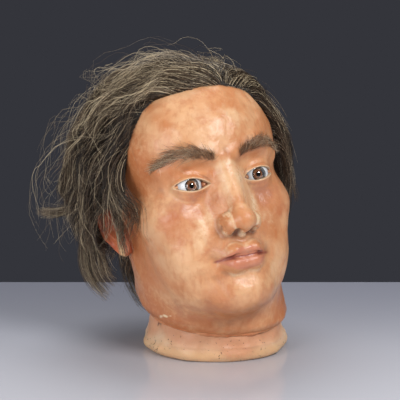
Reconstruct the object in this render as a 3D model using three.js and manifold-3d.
// A life-size wax head: a hollow painted casting with a spigot at its neck, standing in a flared
// base of bare wax. Blown glass eyes sit in it from inside, held by cups of plaster, the ears are
// cast apart, and the brows and the hair are set into the wax.
// Millimetres, +Z up. The front of the base faces -Y, and the head's own left is towards +X.

import * as THREE from 'three';
import { mergeVertices } from 'three/addons/utils/BufferGeometryUtils.js';
import Module from 'manifold-3d';

const wasm = await Module();
wasm.setup();
const degrees = THREE.MathUtils.degToRad;

// Head casting, and how it is held: turned to its left, chin lifted, top leaning to its right
const headHeight = 226;
const headBreadth = 150;
const headLength = 192;
const headWall = 8;
const headCentre = [-21, 8, 146];
const headTurn = degrees(22);
const headLift = degrees(15);
const headLean = degrees(5);
const throatRadius = 54;
const throatBlend = 27;
const nostrilRadius = 4;

// Seam between the casting and the base
const seamHeight = 32;
const seamTiltFront = degrees(6);
const seamTiltSide = degrees(4);
const seamHalfWidth = 59.5;
const seamHalfDepth = 55;
const seamOverhang = 1.2;
const neckBulge = 6;
const neckFlare = 1.2;
const neckSkirt = 12;
const spigotLength = 12;
const spigotHalfWidth = 51.5;
const spigotHalfDepth = 47;
const spigotWall = 7;
const collarHeight = 10;
const weldRadius = 1.6;
const weldProud = 0.5;

// Neck base
const footHalfWidth = 65.5;
const footHalfDepth = 58;
const footRound = 6;
const boreHalfWidth = 44.5;
const boreHalfDepth = 40;

// Glass eyes, and the plaster cups behind them
const eyeRadius = 12.2;
const eyeGlass = 1.6;
const eyeSpacing = 63;
const eyeSet = 70.3;
const eyeBackHole = 5;
const eyeFrontHole = 6.6;
const corneaBend = 8.2;
const corneaGlass = 0.9;
const irisRadius = 5.4;
const irisThickness = 0.8;
const irisDepth = 3;
const pupilRadius = 2.1;
const pupilGlass = 0.7;
const cupWall = 5;
const cupHole = 8;

// Lids
const lidThickness = 2.3;
const lidBlend = 4;
const lidHalfWidth = 15.2;
const lidUp = 6;
const lidDown = 4.8;
const lidTilt = 0.8;
const cornerReach = 17.2;
const cornerSink = 0.9;

// Ears
const earHeight = 62;
const earWidth = 35;
const earEdge = 4.5;
const earRelief = 5;
const earRoot = 16;
const earProud = 3.8;
const earBack = 15;
const earDrop = 18;
const earFlare = degrees(26);
const earRake = degrees(9);
const earRoom = 4;

// Hair and brows
const hairDepth = 56;
const hairEdge = 3;
const lockRidge = 2.6;
const lockRadius = 8;
const wispRadius = 5;
const lockRoom = 1;
const browDepth = 3.2;
const browLength = 46;
const browHeight = 10;

// Clearances, and how far a cut runs past what it cuts
const gap = 0.3;
const overrun = 20;
const farReach = 200;

// Fineness
const skinColumns = 42;
const skinRows = 48;
const hollowColumns = 22;
const hollowRows = 16;
const hairColumns = 40;
const hairRows = 12;
const ringSteps = 36;
const eyeSteps = 16;
const eyeArcSteps = 4;
const earColumns = 20;
const browColumns = 12;
const browSides = 8;
const lockSteps = 10;
const lockSides = 8;
const weldSides = 8;

const paintedWax = new THREE.MeshStandardMaterial({ color: '#c5834f', roughness: 0.42, metalness: 0 });
const flushedWax = new THREE.MeshStandardMaterial({ color: '#bb5f41', roughness: 0.42, metalness: 0 });
const bareWax = new THREE.MeshStandardMaterial({ color: '#dcae86', roughness: 0.5, metalness: 0 });
const weldWax = new THREE.MeshStandardMaterial({ color: '#b98258', roughness: 0.6, metalness: 0 });
const plaster = new THREE.MeshStandardMaterial({ color: '#ddd6c6', roughness: 0.9, metalness: 0 });
const whiteGlass = new THREE.MeshStandardMaterial({ color: '#d9dcdc', roughness: 0.12, metalness: 0 });
const brownGlass = new THREE.MeshStandardMaterial({ color: '#5b3b20', roughness: 0.15, metalness: 0 });
const blackGlass = new THREE.MeshStandardMaterial({ color: '#0a0908', roughness: 0.1, metalness: 0 });
const clearGlass = new THREE.MeshStandardMaterial({ color: '#eef4f5', roughness: 0.03, metalness: 0 });
const greyHair = new THREE.MeshStandardMaterial({ color: '#5f574c', roughness: 0.6, metalness: 0 });
const brownHair = new THREE.MeshStandardMaterial({ color: '#6b4a33', roughness: 0.6, metalness: 0 });

// Places: the head's own frame has its origin midway between the eyes' level lines, face to -Y
const unitScale = new THREE.Vector3(1, 1, 1);
const headPlace = new THREE.Matrix4().compose(
  new THREE.Vector3(...headCentre),
  new THREE.Quaternion().setFromEuler(new THREE.Euler(-headLift, -headLean, headTurn, 'ZXY')),
  unitScale,
);
const seamPlace = new THREE.Matrix4().compose(
  new THREE.Vector3(0, 0, seamHeight),
  new THREE.Quaternion().setFromEuler(new THREE.Euler(seamTiltFront, seamTiltSide, 0)),
  unitScale,
);
const seamInHead = headPlace.clone().invert().multiply(seamPlace);
const headInSeam = seamInHead.clone().invert();
const moved = (matrix, [x, y, z]) => new THREE.Vector3(x, y, z).applyMatrix4(matrix).toArray();
const mixed = (from, to, share) => from.map((value, k) => value + share * (to[k] - value));

// A head form is a ball or a limb. Places and ball sizes are shares of the head's breadth, length
// and height, and limb radii and blends are shares of its height. Each form is on both sides, and
// a hollow form is pressed in instead of added.
const skullFormShares = [
  { at: [0, 0.04, 0.148], size: [0.50, 0.46, 0.352], blend: 0.09 },
  { at: [0, -0.19, 0.150], size: [0.405, 0.286, 0.26], blend: 0.10 },
  { at: [0, 0.23, 0.02], size: [0.38, 0.27, 0.23], blend: 0.09 },
  { at: [0, -0.16, -0.11], size: [0.415, 0.262, 0.27], blend: 0.08 },
  { at: [0, -0.285, -0.265], size: [0.255, 0.205, 0.165], blend: 0.08 },
  { at: [0.270, -0.262, -0.115], size: [0.165, 0.128, 0.085], blend: 0.09 },
  { from: [0.33, -0.20, -0.095], to: [0.375, -0.02, -0.06], radii: [0.036, 0.038], blend: 0.10 },
  { at: [0.225, -0.20, -0.275], size: [0.175, 0.195, 0.175], blend: 0.09 },
  { from: [0.10, -0.355, -0.425], to: [0.270, -0.06, -0.335], radii: [0.048, 0.052], blend: 0.08 },
  { from: [0.270, -0.06, -0.335], to: [0.350, 0.02, -0.08], radii: [0.052, 0.050], blend: 0.09 },
  { at: [0, -0.385, -0.435], size: [0.130, 0.088, 0.066], blend: 0.06 },
  { at: [0, -0.19, -0.41], size: [0.27, 0.24, 0.10], blend: 0.08 },
];
const napeFormShares = [
  { from: [0.13, 0.24, -0.10], to: [0.16, 0.20, -0.42], radii: [0.10, 0.12], blend: 0.08 },
  { from: [0.33, 0.10, -0.17], to: [0.20, -0.02, -0.50], radii: [0.060, 0.06], blend: 0.10 },
];
const faceFormShares = [
  { from: [0.03, -0.440, 0.082], to: [0.20, -0.425, 0.105], radii: [0.022, 0.024], blend: 0.06 },
  { from: [0.20, -0.425, 0.105], to: [0.335, -0.325, 0.075], radii: [0.024, 0.020], blend: 0.06 },
  { at: [0.195, -0.512, 0.048], size: [0.120, 0.092, 0.034], blend: 0.045, hollow: true },
  { at: [0.205, -0.520, -0.058], size: [0.110, 0.084, 0.040], blend: 0.06, hollow: true },
  { at: [0.095, -0.505, 0.004], size: [0.028, 0.052, 0.045], blend: 0.035, hollow: true },
];
const noseFormShares = [
  { at: [0, -0.43, -0.10], size: [0.100, 0.075, 0.125], blend: 0.06 },
  { from: [0, -0.452, 0.040], to: [0, -0.533, -0.130], radii: [0.023, 0.027], blend: 0.035 },
  { at: [0, -0.545, -0.158], size: [0.066, 0.050, 0.044], blend: 0.03 },
  { at: [0.078, -0.502, -0.170], size: [0.038, 0.052, 0.036], blend: 0.024 },
  { from: [0, -0.556, -0.182], to: [0, -0.500, -0.205], radii: [0.012, 0.016], blend: 0.014 },
];
const mouthFormShares = [
  { from: [0, -0.493, -0.268], to: [0.062, -0.487, -0.268], radii: [0.0175, 0.017], blend: 0.024 },
  { from: [0.062, -0.487, -0.268], to: [0.150, -0.420, -0.289], radii: [0.017, 0.008], blend: 0.028 },
  { from: [0, -0.480, -0.320], to: [0.060, -0.474, -0.319], radii: [0.0245, 0.0225], blend: 0.03 },
  { from: [0.060, -0.474, -0.319], to: [0.140, -0.418, -0.301], radii: [0.0225, 0.008], blend: 0.032 },
  { from: [0, -0.517, -0.294], to: [0.060, -0.511, -0.2905], radii: [0.006, 0.006], blend: 0.012,
    hollow: true },
  { from: [0.060, -0.511, -0.2905], to: [0.158, -0.4475, -0.2975], radii: [0.006, 0.0035], blend: 0.01,
    hollow: true },
  { at: [0, -0.536, -0.372], size: [0.12, 0.052, 0.022], blend: 0.035, hollow: true },
  { from: [0.118, -0.492, -0.180], to: [0.200, -0.447, -0.270], radii: [0.004, 0.005], blend: 0.024,
    hollow: true },
];
const throatShare = [0.04, 0.05, -0.22];
const nostrilShare = [0.041, -0.532, -0.208];

const headSizes = [headBreadth, headLength, headHeight];
const placed = (shares) => shares.map((share, k) => share * headSizes[k]);
const sizedForm = (form) => ({
  at: form.at && placed(form.at),
  size: form.size && placed(form.size),
  from: form.from && placed(form.from),
  to: form.to && placed(form.to),
  radii: form.radii && form.radii.map((share) => share * headHeight),
  blend: form.blend * headHeight,
  hollow: form.hollow === true,
});
const skullForms = [...skullFormShares, ...napeFormShares].map(sizedForm);
const featureForms = [...faceFormShares, ...noseFormShares, ...mouthFormShares].map(sizedForm);
const throat = moved(headInSeam, placed(throatShare));

const softMin = (a, b, blend) => {
  const share = Math.min(1, Math.max(0, 0.5 + (b - a) / (2 * blend)));
  return b + (a - b) * share - blend * share * (1 - share);
};
const softMax = (a, b, blend) => -softMin(-a, -b, blend);

// Distance to a ball or a limb: a ball's is the usual estimate for an ellipsoid, and a limb is a
// round rod that swells steadily from its first radius to its second
const formDistance = (form, [x, y, z]) => {
  if (form.size) {
    const offset = [x - form.at[0], y - form.at[1], z - form.at[2]];
    const near = Math.hypot(...offset.map((value, k) => value / form.size[k]));
    const steep = Math.hypot(...offset.map((value, k) => value / form.size[k] ** 2));
    return (near * (near - 1)) / Math.max(steep, Number.EPSILON);
  }
  const along = form.to.map((value, k) => value - form.from[k]);
  const offset = [x - form.from[0], y - form.from[1], z - form.from[2]];
  const dot = offset[0] * along[0] + offset[1] * along[1] + offset[2] * along[2];
  const share = Math.min(1, Math.max(0, dot / (along[0] ** 2 + along[1] ** 2 + along[2] ** 2)));
  const apart = Math.hypot(...offset.map((value, k) => value - share * along[k]));
  return apart - (form.radii[0] + share * (form.radii[1] - form.radii[0]));
};
const withForms = (forms, start, point) => {
  let distance = start;
  for (const form of forms) {
    const other = formDistance(form, point);
    distance = form.hollow
      ? softMax(distance, -other, form.blend)
      : softMin(distance, other, form.blend);
  }
  return distance;
};
const ellipseDistance = (x, y, halfWidth, halfDepth) =>
  (Math.hypot(x / halfWidth, y / halfDepth) - 1) * Math.min(halfWidth, halfDepth);

// The neck column runs from the seam's ellipse to a round throat below the skull
const neckDistance = ([x, y, z]) => {
  const share = Math.min(1, Math.max(0, z / throat[2]));
  const side = ellipseDistance(
    x - share * throat[0],
    y - share * throat[1],
    seamHalfWidth + seamOverhang + neckBulge + share * (throatRadius - seamHalfWidth - neckBulge),
    seamHalfDepth + seamOverhang + neckBulge + share * (throatRadius - seamHalfDepth - neckBulge),
  );
  return z > throat[2] ? Math.hypot(Math.max(0, side), z - throat[2]) : side;
};
// At the seam the casting is held to the seam's ellipse, and it may widen by the flare above it
const seamBound = ([x, y, z]) => ellipseDistance(
  x,
  y,
  seamHalfWidth + seamOverhang + Math.max(0, z) * neckFlare,
  seamHalfDepth + seamOverhang + Math.max(0, z) * neckFlare,
);

// Rough distance to the plain head, without features, below zero inside
const plainDistance = (point) => {
  const mirrored = [Math.abs(point[0]), point[1], point[2]];
  const inSeam = moved(headInSeam, point);
  const skull = withForms(skullForms, farReach, mirrored);
  const joined = softMin(skull, neckDistance(inSeam), throatBlend);
  const bounded = softMax(joined, seamBound(inSeam), neckBulge);
  return Math.max(bounded, -inSeam[2] - overrun);
};
const skinDistance = (point) => {
  const mirrored = [Math.abs(point[0]), point[1], point[2]];
  const featured = withForms(featureForms, plainDistance(point), mirrored);
  const fromEye = Math.hypot(mirrored[0] - eyeSpacing / 2, point[1] + eyeSet, point[2]);
  return softMin(featured, fromEye - eyeRadius - lidThickness, lidBlend);
};

// Rows of the skin from the neck to the vertex: each has its share of the rows, its rays'
// elevation at the face, how much higher they aim at the back, their start as a share of the
// head's height, how far they turn to the seam's own frame, and their height over the seam as a
// share of the neck's skirt
const skinRowShares = [
  [0.00, -52, 35, -0.34, 1, -1.2],
  [0.03, -52, 35, -0.34, 1, -0.3],
  [0.05, -52, 35, -0.34, 1, 0.25],
  [0.09, -52, 35, -0.34, 1, 1.0],
  [0.15, -46, 34, -0.30, 0.35, 1.7],
  [0.22, -37, 30, -0.22, 0, 2],
  [0.38, -25, 20, -0.10, 0, 2],
  [0.54, -19, 14, -0.02, 0, 2],
  [0.68, -8, 6, 0.05, 0, 2],
  [0.80, 8, 0, 0.08, 0, 2],
  [0.90, 42, 0, 0.08, 0, 2],
  [1.00, 90, 0, 0.08, 0, 2],
];
const frontCrowding = 0.6;
const rowAt = (share) => {
  const last = skinRowShares.length - 1;
  const next = Math.min(last, Math.max(1, skinRowShares.findIndex((row) => row[0] >= share)));
  const [low, high] = [skinRowShares[next - 1], skinRowShares[next]];
  return mixed(low, high, (share - low[0]) / (high[0] - low[0]));
};
const skinRay = (azimuth, rowShare) => {
  const [, elevation, backLift, startShare, seamShare, riseShare] = rowAt(rowShare);
  const lift = degrees(elevation + backLift * (1 - Math.cos(azimuth)) / 2);
  const level = [Math.sin(azimuth) * Math.cos(lift), -Math.cos(azimuth) * Math.cos(lift), Math.sin(lift)];
  const seamStart = moved(seamInHead, [0, 0, riseShare * neckSkirt]);
  const turned = azimuth + headTurn;
  const seamEnd = moved(seamInHead, [Math.sin(turned), -Math.cos(turned), riseShare * neckSkirt]);
  const flat = seamEnd.map((value, k) => value - seamStart[k]);
  const heading = mixed(level, flat, seamShare);
  const length = Math.hypot(...heading);
  return {
    start: mixed([0, 0, startShare * headHeight], seamStart, seamShare),
    heading: heading.map((value) => value / length),
  };
};

// Walks in from far out along a ray until the distance to the shape is the offset asked for
const traceSteps = 40;
const traceShare = 0.85;
const traced = (distance, offset, { start, heading }) => {
  let reach = farReach;
  for (let step = 0; step < traceSteps; step += 1) {
    const point = start.map((value, k) => value + reach * heading[k]);
    reach = Math.max(0, reach - traceShare * (distance(point) - offset));
  }
  return start.map((value, k) => value + reach * heading[k]);
};

const solidOf = (geometry) => {
  geometry.deleteAttribute('normal');
  geometry.deleteAttribute('uv');
  const merged = mergeVertices(geometry);
  return new wasm.Manifold(new wasm.Mesh({
    numProp: 3,
    vertProperties: new Float32Array(merged.getAttribute('position').array),
    triVerts: new Uint32Array(merged.getIndex().array),
  }));
};
const solidFrom = (points, faces) => {
  const geometry = new THREE.BufferGeometry();
  geometry.setAttribute('position', new THREE.Float32BufferAttribute(points.flat(), 3));
  geometry.setIndex(faces);
  return solidOf(geometry);
};
const meshOf = (name, solid, material) => {
  const { vertProperties, triVerts } = solid.getMesh();
  const geometry = new THREE.BufferGeometry();
  geometry.setAttribute('position', new THREE.BufferAttribute(new Float32Array(vertProperties), 3));
  geometry.setIndex(new THREE.BufferAttribute(new Uint32Array(triVerts), 1));
  geometry.computeVertexNormals();
  const mesh = new THREE.Mesh(geometry, material);
  mesh.name = name;
  return mesh;
};

// Rings of points, counter-clockwise from above and from the bottom up, closed by two end points
const ringSolid = (rings, bottom, top) => {
  const count = rings[0].length;
  const topIndex = rings.length * count + 1;
  const faces = [];
  for (let k = 0; k < count; k += 1) {
    const next = (k + 1) % count;
    faces.push(0, 1 + next, 1 + k);
    for (let row = 0; row + 1 < rings.length; row += 1) {
      const near = 1 + row * count + k;
      const far = 1 + row * count + next;
      faces.push(near, far, far + count, near, far + count, near + count);
    }
    faces.push(topIndex, topIndex - count + k, topIndex - count + next);
  }
  return solidFrom([bottom, ...rings.flat(), top], faces);
};
// A tube of rings that closes on itself
const loopSolid = (rings) => {
  const count = rings[0].length;
  const faces = [];
  rings.forEach((ring, row) => {
    const nextRow = ((row + 1) % rings.length) * count;
    for (let k = 0; k < count; k += 1) {
      const next = (k + 1) % count;
      const here = row * count;
      faces.push(here + k, here + next, nextRow + next, here + k, nextRow + next, nextRow + k);
    }
  });
  return solidFrom(rings.flat(), faces);
};

const latheSolid = (profile) => solidOf(new THREE.LatheGeometry(
  profile.map(([radius, along]) => new THREE.Vector2(radius, along)),
  eyeSteps,
));
const ovalPost = (halfWidth, halfDepth, low, high, matrix) => solidOf(
  new THREE.CylinderGeometry(1, 1, high - low, ringSteps)
    .rotateX(Math.PI / 2)
    .scale(halfWidth, halfDepth, 1)
    .translate(0, 0, (low + high) / 2)
    .applyMatrix4(matrix),
);
const block = (low, high, matrix) => solidOf(
  new THREE.BoxGeometry(2 * farReach, 2 * farReach, high - low)
    .translate(0, 0, (low + high) / 2)
    .applyMatrix4(matrix),
);
const noTurn = new THREE.Matrix4();

// Head casting
const headSolid = (distance, offset, columns, rows) => {
  const rings = [];
  for (let row = 0; row < rows; row += 1) {
    rings.push(Array.from({ length: columns }, (_, column) => {
      const share = column / columns;
      const azimuth = 2 * Math.PI * share - frontCrowding * Math.sin(2 * Math.PI * share);
      return traced(distance, offset, skinRay(azimuth, row / rows));
    }));
  }
  const bottom = moved(seamInHead, [0, 0, skinRowShares[0][5] * neckSkirt]);
  return ringSolid(rings, bottom, traced(distance, offset, skinRay(0, 1)));
};
const skinSolid = headSolid(skinDistance, 0, skinColumns, skinRows);
const clearSkin = headSolid(skinDistance, gap, skinColumns, skinRows);
const hollowSolid = headSolid(plainDistance, -headWall, hollowColumns, hollowRows);
const clearHollow = headSolid(plainDistance, -headWall - gap, hollowColumns, hollowRows);

const frontAngle = Math.asin(eyeFrontHole / eyeRadius);
const corneaRim = eyeFrontHole - gap;
const corneaAngle = Math.asin(corneaRim / corneaBend);
const corneaCentre = eyeRadius * Math.cos(frontAngle) - corneaBend * Math.cos(corneaAngle);
const eyeCentre = (side) => [side * eyeSpacing / 2, -eyeSet, 0];
// A faceted ball whose flats, not its corners, lie at the radius
const eyeBall = (side, radius, forward = 0) => {
  const [x, y, z] = eyeCentre(side);
  return solidOf(
    new THREE.SphereGeometry(radius / Math.cos(Math.PI / eyeSteps), eyeSteps, eyeSteps / 2)
      .translate(x, y - forward, z),
  );
};
// The opening between the lids is an almond, pressed in as far as a floor that rises at its corners.
// Its edges are arches, each a parabola raised to a power.
const lidArchShares = { upper: 0.8, lower: 0.9 };
const lidOpening = (side) => {
  const steps = eyeSteps / 2;
  const edge = (share, rise, round) => [
    side * share * lidHalfWidth,
    share * lidTilt + rise * Math.max(0, 1 - share ** 2) ** round,
  ];
  const points = [];
  for (let step = 0; step < steps; step += 1) {
    points.push(edge(-Math.cos(Math.PI * step / steps), lidUp, lidArchShares.upper));
  }
  for (let step = 0; step < steps; step += 1) {
    points.push(edge(Math.cos(Math.PI * step / steps), -lidDown, lidArchShares.lower));
  }
  const outline = new THREE.Shape(points.map(([x, z]) => new THREE.Vector2(x, z)));
  const almond = solidOf(
    new THREE.ExtrudeGeometry(outline, { depth: eyeRadius + overrun, bevelEnabled: false })
      .rotateX(Math.PI / 2)
      .translate(...eyeCentre(side)),
  );
  const floor = solidOf(
    new THREE.SphereGeometry(1, eyeSteps, eyeSteps / 2)
      .scale(cornerReach, eyeRadius - cornerSink, eyeRadius - cornerSink)
      .translate(...eyeCentre(side)),
  );
  return almond.subtract(floor);
};
const nostril = (side) => {
  const [x, y, z] = placed(nostrilShare);
  return solidOf(
    new THREE.SphereGeometry(nostrilRadius, eyeSteps / 2, eyeSteps / 3).translate(side * x, y, z),
  );
};

const headCasting = () => {
  const spigot = ovalPost(spigotHalfWidth, spigotHalfDepth, -spigotLength, collarHeight / 2, seamInHead);
  const bore = ovalPost(
    spigotHalfWidth - spigotWall,
    spigotHalfDepth - spigotWall,
    -spigotLength - overrun,
    collarHeight + overrun / 2,
    seamInHead,
  );
  let casting = skinSolid.intersect(block(0, 2 * farReach, seamInHead)).add(spigot);
  casting = casting.subtract(bore);
  casting = casting.subtract(hollowSolid.intersect(block(collarHeight, 2 * farReach, seamInHead)));
  casting = casting.subtract(weldRing(weldRadius + gap, seamInHead));
  for (const side of [-1, 1]) {
    casting = casting.subtract(lidOpening(side));
    casting = casting.subtract(eyeBall(side, eyeRadius + gap));
    casting = casting.subtract(eyeBall(side, corneaBend + gap, corneaCentre));
    casting = casting.subtract(nostril(side));
  }
  return casting;
};

// The bead of wax that closes the seam lies along the seam's ellipse
const weldRing = (radius, matrix) => {
  const rings = [];
  for (let step = 0; step < ringSteps; step += 1) {
    const around = 2 * Math.PI * step / ringSteps;
    const inset = weldProud - weldRadius;
    rings.push(Array.from({ length: weldSides }, (_, k) => {
      const turn = 2 * Math.PI * (k + 0.5) / weldSides;
      const out = inset + radius * Math.cos(turn);
      const point = [
        (seamHalfWidth + out) * Math.cos(around),
        (seamHalfDepth + out) * Math.sin(around),
        radius * Math.sin(turn),
      ];
      return moved(matrix, point);
    }));
  }
  return loopSolid(rings.map((ring) => ring.slice().reverse()));
};

// Neck base: a rounded foot that draws in to the seam, bored through, with the spigot's socket
const footProfileShares = [
  [0.00, 0.00, -1.0],
  [0.00, 0.30, -0.42],
  [0.05, 0.72, -0.10],
  [0.05, 1.20, 0.00],
  [0.10, 1.75, -0.12],
  [0.30, 2.20, 0.00],
];
const neckSpreadShare = 1.01;
const neckBase = () => {
  const rings = footProfileShares.map(([drawnIn, rise, inset]) => (
    Array.from({ length: ringSteps }, (_, step) => {
      const around = 2 * Math.PI * step / ringSteps;
      const halfWidth = footHalfWidth + drawnIn * (seamHalfWidth - footHalfWidth) + inset * footRound;
      const halfDepth = footHalfDepth + drawnIn * (seamHalfDepth - footHalfDepth) + inset * footRound;
      return [halfWidth * Math.cos(around), halfDepth * Math.sin(around), rise * footRound];
    })
  ));
  for (const height of [-2 * footRound, 0, footRound]) {
    rings.push(Array.from({ length: ringSteps }, (_, step) => {
      const around = 2 * Math.PI * step / ringSteps;
      const spread = height < 0 ? neckSpreadShare : 1;
      const [out, deep] = [seamHalfWidth * spread, seamHalfDepth * spread];
      return moved(seamPlace, [out * Math.cos(around), deep * Math.sin(around), height]);
    }));
  }
  const top = moved(seamPlace, [0, 0, footRound]);
  const socket = ovalPost(
    spigotHalfWidth + gap,
    spigotHalfDepth + gap,
    -spigotLength - gap,
    overrun,
    seamPlace,
  );
  return ringSolid(rings, [0, 0, 0], top)
    .subtract(block(-gap, 2 * farReach, seamPlace))
    .subtract(ovalPost(boreHalfWidth, boreHalfDepth, -overrun, seamHeight + overrun, noTurn))
    .subtract(socket)
    .subtract(weldRing(weldRadius + gap, seamPlace));
};

// Glass eyes: every piece is turned about the line of sight, which runs to -Y
const arc = (radius, centre, from, to) => Array.from({ length: eyeArcSteps + 1 }, (_, k) => {
  const angle = from + (to - from) * k / eyeArcSteps;
  return [radius * Math.sin(angle), -centre - radius * Math.cos(angle)];
});
const closedProfile = (points) => latheSolid([...points, points[0]]);
const backAngle = Math.PI - Math.asin(eyeBackHole / eyeRadius);
const globeSolid = () => closedProfile([
  ...arc(eyeRadius, 0, frontAngle, backAngle),
  ...arc(eyeRadius - eyeGlass, 0, backAngle, frontAngle),
]);
const corneaSolid = () => latheSolid([
  ...arc(corneaBend, corneaCentre, 0, corneaAngle),
  ...arc(corneaBend - corneaGlass, corneaCentre, corneaAngle, 0),
]);
const irisFront = eyeRadius - irisDepth;
const irisSolid = () => closedProfile([
  [pupilRadius, -irisFront + gap],
  [irisRadius, -irisFront],
  [irisRadius, -irisFront + irisThickness],
  [pupilRadius, -irisFront + gap + irisThickness],
]);
const pupilFront = irisFront - irisThickness - 2 * gap;
const pupilSolid = () => latheSolid([
  [0, -pupilFront],
  [irisRadius - eyeGlass, -pupilFront],
  [irisRadius - eyeGlass, -pupilFront + pupilGlass],
  [0, -pupilFront + pupilGlass],
]);
const eyeCup = (side) => {
  const hole = solidOf(
    new THREE.CylinderGeometry(cupHole, cupHole, eyeRadius + overrun, eyeSteps)
      .translate(eyeCentre(side)[0], -eyeSet + (eyeRadius + overrun) / 2, 0),
  );
  return eyeBall(side, eyeRadius + gap + cupWall)
    .intersect(clearHollow)
    .subtract(eyeBall(side, eyeRadius + gap))
    .subtract(hole);
};

// An ear is a dish: its outline is a closed curve through shares of its width and height, and its
// front carries the rolled rim, the inner fold, the bowl and the flap before the bowl
const earOutlineShares = [
  [0.00, 0.50], [0.27, 0.455], [0.44, 0.30], [0.50, 0.08], [0.43, -0.17], [0.25, -0.37],
  [-0.04, -0.50], [-0.27, -0.44], [-0.33, -0.28], [-0.40, -0.05], [-0.44, 0.17], [-0.30, 0.40],
];
const earRimShares = { reach: 0.88, width: 0.1, low: -0.32, fade: 0.15 };
const earFoldShares = { reach: 0.52, width: 0.13, along: 0.3, length: 0.22, height: 0.8 };
const earMoundShares = [
  { back: -0.1, up: -0.02, width: 0.24, height: -0.6 },
  { back: -0.36, up: -0.06, width: 0.11, height: 1.1 },
  { back: -0.08, up: -0.4, width: 0.2, height: 0.5 },
];
const earRootShares = { back: -0.18, width: 0.34 };
const earHingeShare = -0.44;
const earBackRingShares = [0.2, 0.45, 0.7, 0.88];
const earEdgeRingShare = 0.97;
const earFrontRingShares = [0.96, 0.88, 0.78, 0.66, 0.54, 0.42, 0.3, 0.16];
const bump = (offset, width) => Math.exp(-((offset / width) ** 2));
const earFront = (reach, along, back, up) => {
  const { low, fade } = earRimShares;
  const rim = bump(reach - earRimShares.reach, earRimShares.width)
    * Math.min(1, Math.max(0, (up - low) / fade));
  const fold = bump(reach - earFoldShares.reach, earFoldShares.width)
    * bump(along - earFoldShares.along, earFoldShares.length) * earFoldShares.height;
  return earMoundShares.reduce(
    (sum, mound) => sum + mound.height * bump(Math.hypot(back - mound.back, up - mound.up), mound.width),
    rim + fold,
  );
};
// The ear stands this far out from the head's own plane: the skin behind it, and how proud it is
const earReach = traced(skinDistance, earProud, { start: [0, earBack, -earDrop], heading: [1, 0, 0] })[0];
const earBody = (side, grow) => {
  const outline = new THREE.CatmullRomCurve3(
    earOutlineShares.map(([back, up]) => new THREE.Vector3(back, up, 0)),
    true,
  );
  const widened = 1 + 2 * grow / earWidth;
  const layer = (reach, height) => Array.from({ length: earColumns }, (_, k) => {
    const edge = outline.getPoint(k / earColumns);
    const [back, up] = [reach * edge.x, reach * edge.y];
    return [height(reach, k / earColumns, back, up), widened * back, widened * up];
  });
  const half = earEdge / 2 + grow;
  const front = (reach, along, back, up) => half + earRelief * earFront(reach, along, back, up);
  const behind = (reach, along, back, up) => (
    -half - earRoot * bump(Math.hypot(back - earRootShares.back, up), earRootShares.width)
  );
  const rings = [
    ...earBackRingShares.map((reach) => layer(reach, behind)),
    layer(earEdgeRingShare, () => -half),
    layer(1, () => earEdge / 4),
    ...earFrontRingShares.map((reach) => layer(reach, front)),
  ];
  const place = ([out, back, up]) => {
    const behindEar = (back - earHingeShare) * earWidth;
    const high = up * earHeight;
    const rakedBack = behindEar * Math.cos(earRake) + high * Math.sin(earRake);
    const rakedUp = high * Math.cos(earRake) - behindEar * Math.sin(earRake);
    return [
      side * (earReach + out * Math.cos(earFlare) + rakedBack * Math.sin(earFlare) - earEdge),
      earBack - earWidth / 2 - out * Math.sin(earFlare) + rakedBack * Math.cos(earFlare),
      rakedUp - earDrop,
    ];
  };
  const placedRings = rings.map((ring) => ring.map(place));
  const facing = side > 0 ? placedRings.map((ring) => ring.slice().reverse()) : placedRings;
  const middle = (height) => place([height(0, 0, 0, 0), 0, 0]);
  return ringSolid(facing, middle(behind), middle(front));
};
const earSpace = (side) => solidOf(
  new THREE.SphereGeometry(1, eyeSteps, eyeSteps / 2)
    .scale(earRoot, earWidth / 2 + earRoom, earHeight / 2 + earRoom)
    .rotateZ(-side * earFlare)
    .translate(side * (earReach + earWidth * Math.sin(earFlare) / 2), earBack, -earDrop),
);

// Brows: tapered pads that follow the brow ridge
const browRiseShares = [[0, 0.088], [0.35, 0.118], [0.7, 0.122], [1, 0.092]];
const browInnerShare = 0.44;
const browEndShares = [0.06, 0.92];
const between = (table, share) => {
  const next = Math.min(table.length - 1, Math.max(1, table.findIndex((row) => row[0] >= share)));
  const [low, high] = [table[next - 1], table[next]];
  return low[1] + (high[1] - low[1]) * (share - low[0]) / (high[0] - low[0]);
};
const browSolid = (side) => {
  const start = eyeSpacing / 2 - browLength * browInnerShare;
  const rings = Array.from({ length: browColumns }, (_, column) => {
    const share = column / (browColumns - 1);
    const [thinStart, thinEnd] = browEndShares;
    const swell = Math.sqrt(Math.sin(Math.PI * (thinStart + (thinEnd - thinStart) * share)));
    const across = start + share * browLength;
    const rise = between(browRiseShares, share) * headHeight;
    return Array.from({ length: browSides }, (__, k) => {
      const turn = 2 * Math.PI * k / browSides;
      const high = rise + swell * browHeight / 2 * Math.sin(turn);
      const ray = { start: [side * across, 0, high], heading: [0, -1, 0] };
      return traced(skinDistance, swell * browDepth * Math.cos(turn), ray);
    });
  });
  const facing = side > 0 ? rings.map((ring) => ring.slice().reverse()) : rings;
  const centreOf = (ring) => ring.reduce(
    (sum, point) => sum.map((value, k) => value + point[k] / browSides),
    [0, 0, 0],
  );
  return ringSolid(facing, centreOf(facing[0]), centreOf(facing[browColumns - 1])).subtract(clearSkin);
};

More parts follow.
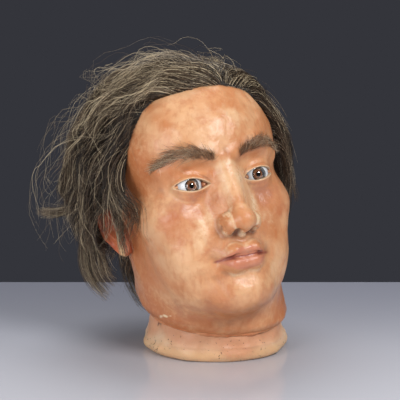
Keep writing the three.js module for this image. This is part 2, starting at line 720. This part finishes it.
// Hair: one mass over the scalp, whose depth is a table of shares by elevation and azimuth, above
// a hairline of azimuths and elevations. Azimuths are shares of a half turn, from the face to the
// head's left, and elevations are shares of a right angle.
const hairDepthShares = [
  [-0.667, [0.40, 0.60, 0.80, 0.78, 0.40, 0.15, 0.15, 0.15, 0.26, 0.50, 0.42, 0.40, 0.40]],
  [-0.333, [0.45, 0.66, 0.86, 0.74, 0.40, 0.15, 0.15, 0.15, 0.28, 0.54, 0.45, 0.42, 0.45]],
  [0, [0.45, 0.56, 0.66, 0.60, 0.36, 0.15, 0.15, 0.15, 0.28, 0.50, 0.42, 0.40, 0.45]],
  [0.333, [0.36, 0.40, 0.42, 0.42, 0.28, 0.16, 0.14, 0.14, 0.18, 0.24, 0.26, 0.30, 0.36]],
  [0.667, [0.24, 0.26, 0.27, 0.26, 0.22, 0.17, 0.14, 0.12, 0.12, 0.13, 0.16, 0.20, 0.24]],
  [1, [0.16, 0.16, 0.16, 0.16, 0.16, 0.16, 0.16, 0.16, 0.16, 0.16, 0.16, 0.16, 0.16]],
];
const hairlineShares = [
  [-1, -0.556], [-0.833, -0.556], [-0.678, -0.533], [-0.589, -0.467], [-0.506, -0.4],
  [-0.422, -0.189], [-0.344, 0.011], [-0.294, 0.2], [-0.244, 0.333], [-0.189, 0.4],
  [-0.122, 0.4], [0, 0.411], [0.167, 0.356], [0.222, 0.2], [0.289, 0],
  [0.367, -0.178], [0.422, -0.244], [0.506, -0.4], [0.589, -0.467], [0.833, -0.533],
  [1, -0.556],
];
const byAzimuth = (values, azimuth) => {
  const place = (azimuth + 1) * (values.length - 1) / 2;
  const low = Math.min(values.length - 2, Math.floor(place));
  return values[low] + (values[low + 1] - values[low]) * (place - low);
};
const hairShareAt = (azimuth, elevation) => {
  const next = Math.max(1, hairDepthShares.findIndex((row) => row[0] >= elevation));
  const [low, high] = [hairDepthShares[next - 1], hairDepthShares[next]];
  const share = (elevation - low[0]) / (high[0] - low[0]);
  return (1 - share) * byAzimuth(low[1], azimuth) + share * byAzimuth(high[1], azimuth);
};
const scalpShare = [0, 0.03, 0.10];
const crownShare = 0.39;
const crownHeight = crownShare * headHeight;
const hairTaperShare = 0.14;
const hairRowPower = 1.15;
const lockCount = 26;
const lockTwist = degrees(172);
const hairMass = (grow) => {
  const start = placed(scalpShare);
  const rings = [];
  for (let row = 0; row < hairRows; row += 1) {
    const share = (row / hairRows) ** hairRowPower;
    rings.push(Array.from({ length: hairColumns }, (_, column) => {
      const azimuth = -1 + 2 * column / hairColumns;
      const low = between(hairlineShares, azimuth);
      const elevation = low + (1 - low) * share;
      const level = Math.cos(Math.PI / 2 * elevation);
      const heading = [
        Math.sin(Math.PI * azimuth) * level,
        -Math.cos(Math.PI * azimuth) * level,
        Math.sin(Math.PI / 2 * elevation),
      ];
      const full = Math.min(1, share / hairTaperShare);
      const depth = hairShareAt(azimuth, elevation) * hairDepth;
      const ridge = lockRidge * full * Math.sin(lockCount * Math.PI * azimuth / 2 + lockTwist * share);
      const scalp = traced(skinDistance, 0, { start, heading });
      const lift = hairEdge + (depth - hairEdge) * full + ridge * level + grow;
      return scalp.map((value, k) => value + lift * heading[k]);
    }));
  }
  const crownDepth = hairShareAt(0, 1) * hairDepth + grow;
  const crown = traced(skinDistance, crownDepth, { start, heading: [0, 0, 1] });
  return ringSolid(rings, start, crown);
};

const onFront = (azimuth) => [Math.sin(Math.PI * azimuth), -Math.cos(Math.PI * azimuth)];
// A wedge of space between two azimuths and two heights, drawn in by half the gap at its sides
const wedge = (from, to, low, high) => {
  const [start, end] = [onFront(from), onFront(to)];
  const inset = gap / 2;
  const half = Math.PI * (to - from) / 2;
  const middle = onFront((from + to) / 2);
  const apex = middle.map((value) => value * inset / Math.sin(half));
  const [, scalpY] = placed(scalpShare);
  const corners = [
    apex,
    apex.map((value, k) => value + 2 * farReach * start[k]),
    apex.map((value, k) => value + 3 * farReach * middle[k]),
    apex.map((value, k) => value + 2 * farReach * end[k]),
  ];
  const outline = new THREE.Shape(corners.map(([x, y]) => new THREE.Vector2(x, y + scalpY)));
  return solidOf(
    new THREE.ExtrudeGeometry(outline, { depth: high - low, bevelEnabled: false }).translate(0, 0, low),
  );
};
const hairZoneShares = [
  ['hair_front', -0.19, 0.19],
  ['hair_left_side', 0.19, 0.59],
  ['hair_left_back', 0.59, 1],
  ['hair_right_back', -1, -0.59],
  ['hair_right_side', -0.59, -0.19],
];

// Hanging locks: each runs through places given as shares of the head's sizes, swells, and tapers
const lockTable = [
  { name: 'right_temple_lock', radius: wispRadius,
    routeShares: [
      [-0.53, -0.07, 0.03], [-0.535, -0.075, -0.08],
      [-0.53, -0.07, -0.17], [-0.505, -0.06, -0.24],
    ] },
  { name: 'right_ear_lock', radius: lockRadius,
    routeShares: [
      [-0.57, 0.20, -0.12], [-0.575, 0.21, -0.21],
      [-0.55, 0.21, -0.275], [-0.50, 0.20, -0.33],
    ] },
  { name: 'right_long_lock', radius: lockRadius,
    routeShares: [
      [-0.60, 0.28, -0.14], [-0.62, 0.29, -0.23],
      [-0.59, 0.28, -0.31], [-0.54, 0.26, -0.375],
    ] },
  { name: 'right_tuft', radius: wispRadius,
    routeShares: [
      [-0.60, 0.33, 0.0], [-0.69, 0.365, 0.0],
      [-0.78, 0.395, 0.005], [-0.83, 0.41, 0.015],
    ] },
  { name: 'right_nape_lock', radius: lockRadius,
    routeShares: [
      [-0.30, 0.42, -0.17], [-0.30, 0.445, -0.31],
      [-0.26, 0.42, -0.42], [-0.22, 0.38, -0.47],
    ] },
  { name: 'left_nape_lock', radius: lockRadius,
    routeShares: [
      [0.25, 0.38, -0.20], [0.26, 0.40, -0.30],
      [0.24, 0.37, -0.38], [0.20, 0.33, -0.44],
    ] },
  { name: 'left_ear_lock', radius: wispRadius,
    routeShares: [
      [0.54, 0.20, -0.11], [0.55, 0.21, -0.20],
      [0.53, 0.21, -0.265], [0.48, 0.20, -0.32],
    ] },
];
const lockThinShare = 0.35;
const lockSwellShares = [0.3, 0.98];
const lockSolid = ({ routeShares, radius }) => {
  const route = new THREE.CatmullRomCurve3(
    routeShares.map((shares) => new THREE.Vector3(...placed(shares))),
  );
  const frames = route.computeFrenetFrames(lockSteps);
  const rings = frames.normals.map((normal, step) => {
    const centre = route.getPointAt(step / lockSteps);
    const [swellStart, swellEnd] = lockSwellShares;
    const swell = Math.sin(Math.PI * (swellStart + (swellEnd - swellStart) * step / lockSteps));
    const size = radius * (lockThinShare + (1 - lockThinShare) * swell);
    return Array.from({ length: lockSides }, (_, k) => {
      const turn = 2 * Math.PI * k / lockSides;
      return centre.clone()
        .addScaledVector(normal, size * Math.cos(turn))
        .addScaledVector(frames.binormals[step], size * Math.sin(turn))
        .toArray();
    });
  });
  return ringSolid(rings, route.getPoint(0).toArray(), route.getPoint(1).toArray());
};

const head = new THREE.Group();
headPlace.decompose(head.position, head.quaternion, head.scale);
head.add(meshOf('head_casting', headCasting(), paintedWax));
for (const [sideName, side] of [['right', -1], ['left', 1]]) {
  head.add(meshOf(`${sideName}_ear`, earBody(side, 0).subtract(clearSkin), flushedWax));
  head.add(meshOf(`${sideName}_eye_cup`, eyeCup(side), plaster));
  head.add(meshOf(`${sideName}_eyebrow`, browSolid(side), brownHair));
  const eyePieces = [
    ['eye_globe', globeSolid(), whiteGlass],
    ['iris', irisSolid(), brownGlass],
    ['pupil', pupilSolid(), blackGlass],
    ['cornea', corneaSolid(), clearGlass],
  ];
  for (const [pieceName, solid, material] of eyePieces) {
    const piece = meshOf(`${sideName}_${pieceName}`, solid, material);
    piece.position.set(...eyeCentre(side));
    head.add(piece);
  }
}
const clearEars = earBody(-1, lockRoom).add(earBody(1, lockRoom));
const earSpaces = earSpace(-1).add(earSpace(1)).add(clearEars);
const hair = hairMass(0).subtract(clearSkin).subtract(earSpaces);
head.add(meshOf('hair_crown', hair.intersect(block(crownHeight, 2 * farReach, noTurn)), greyHair));
for (const [name, from, to] of hairZoneShares) {
  head.add(meshOf(name, hair.intersect(wedge(from, to, -farReach, crownHeight - gap)), greyHair));
}
const tableInHead = headPlace.clone().invert();
const clearBase = ovalPost(
  footHalfWidth + gap,
  footHalfDepth + gap,
  -overrun,
  seamHeight,
  tableInHead,
);
const clearHair = hairMass(gap).add(clearSkin).add(clearEars).add(clearBase);
for (const lock of lockTable) {
  head.add(meshOf(lock.name, lockSolid(lock).subtract(clearHair), greyHair));
}

const waxHead = new THREE.Group();
waxHead.add(head);
waxHead.add(meshOf('neck_base', neckBase(), bareWax));
waxHead.add(meshOf('seam_bead', weldRing(weldRadius, seamPlace), weldWax));

// The part's origin is the middle of its own box, at the level of the foot
waxHead.updateMatrixWorld(true);
const middle = new THREE.Box3().setFromObject(waxHead, true).getCenter(new THREE.Vector3());
waxHead.position.set(-middle.x, -middle.y, 0);
export default waxHead;
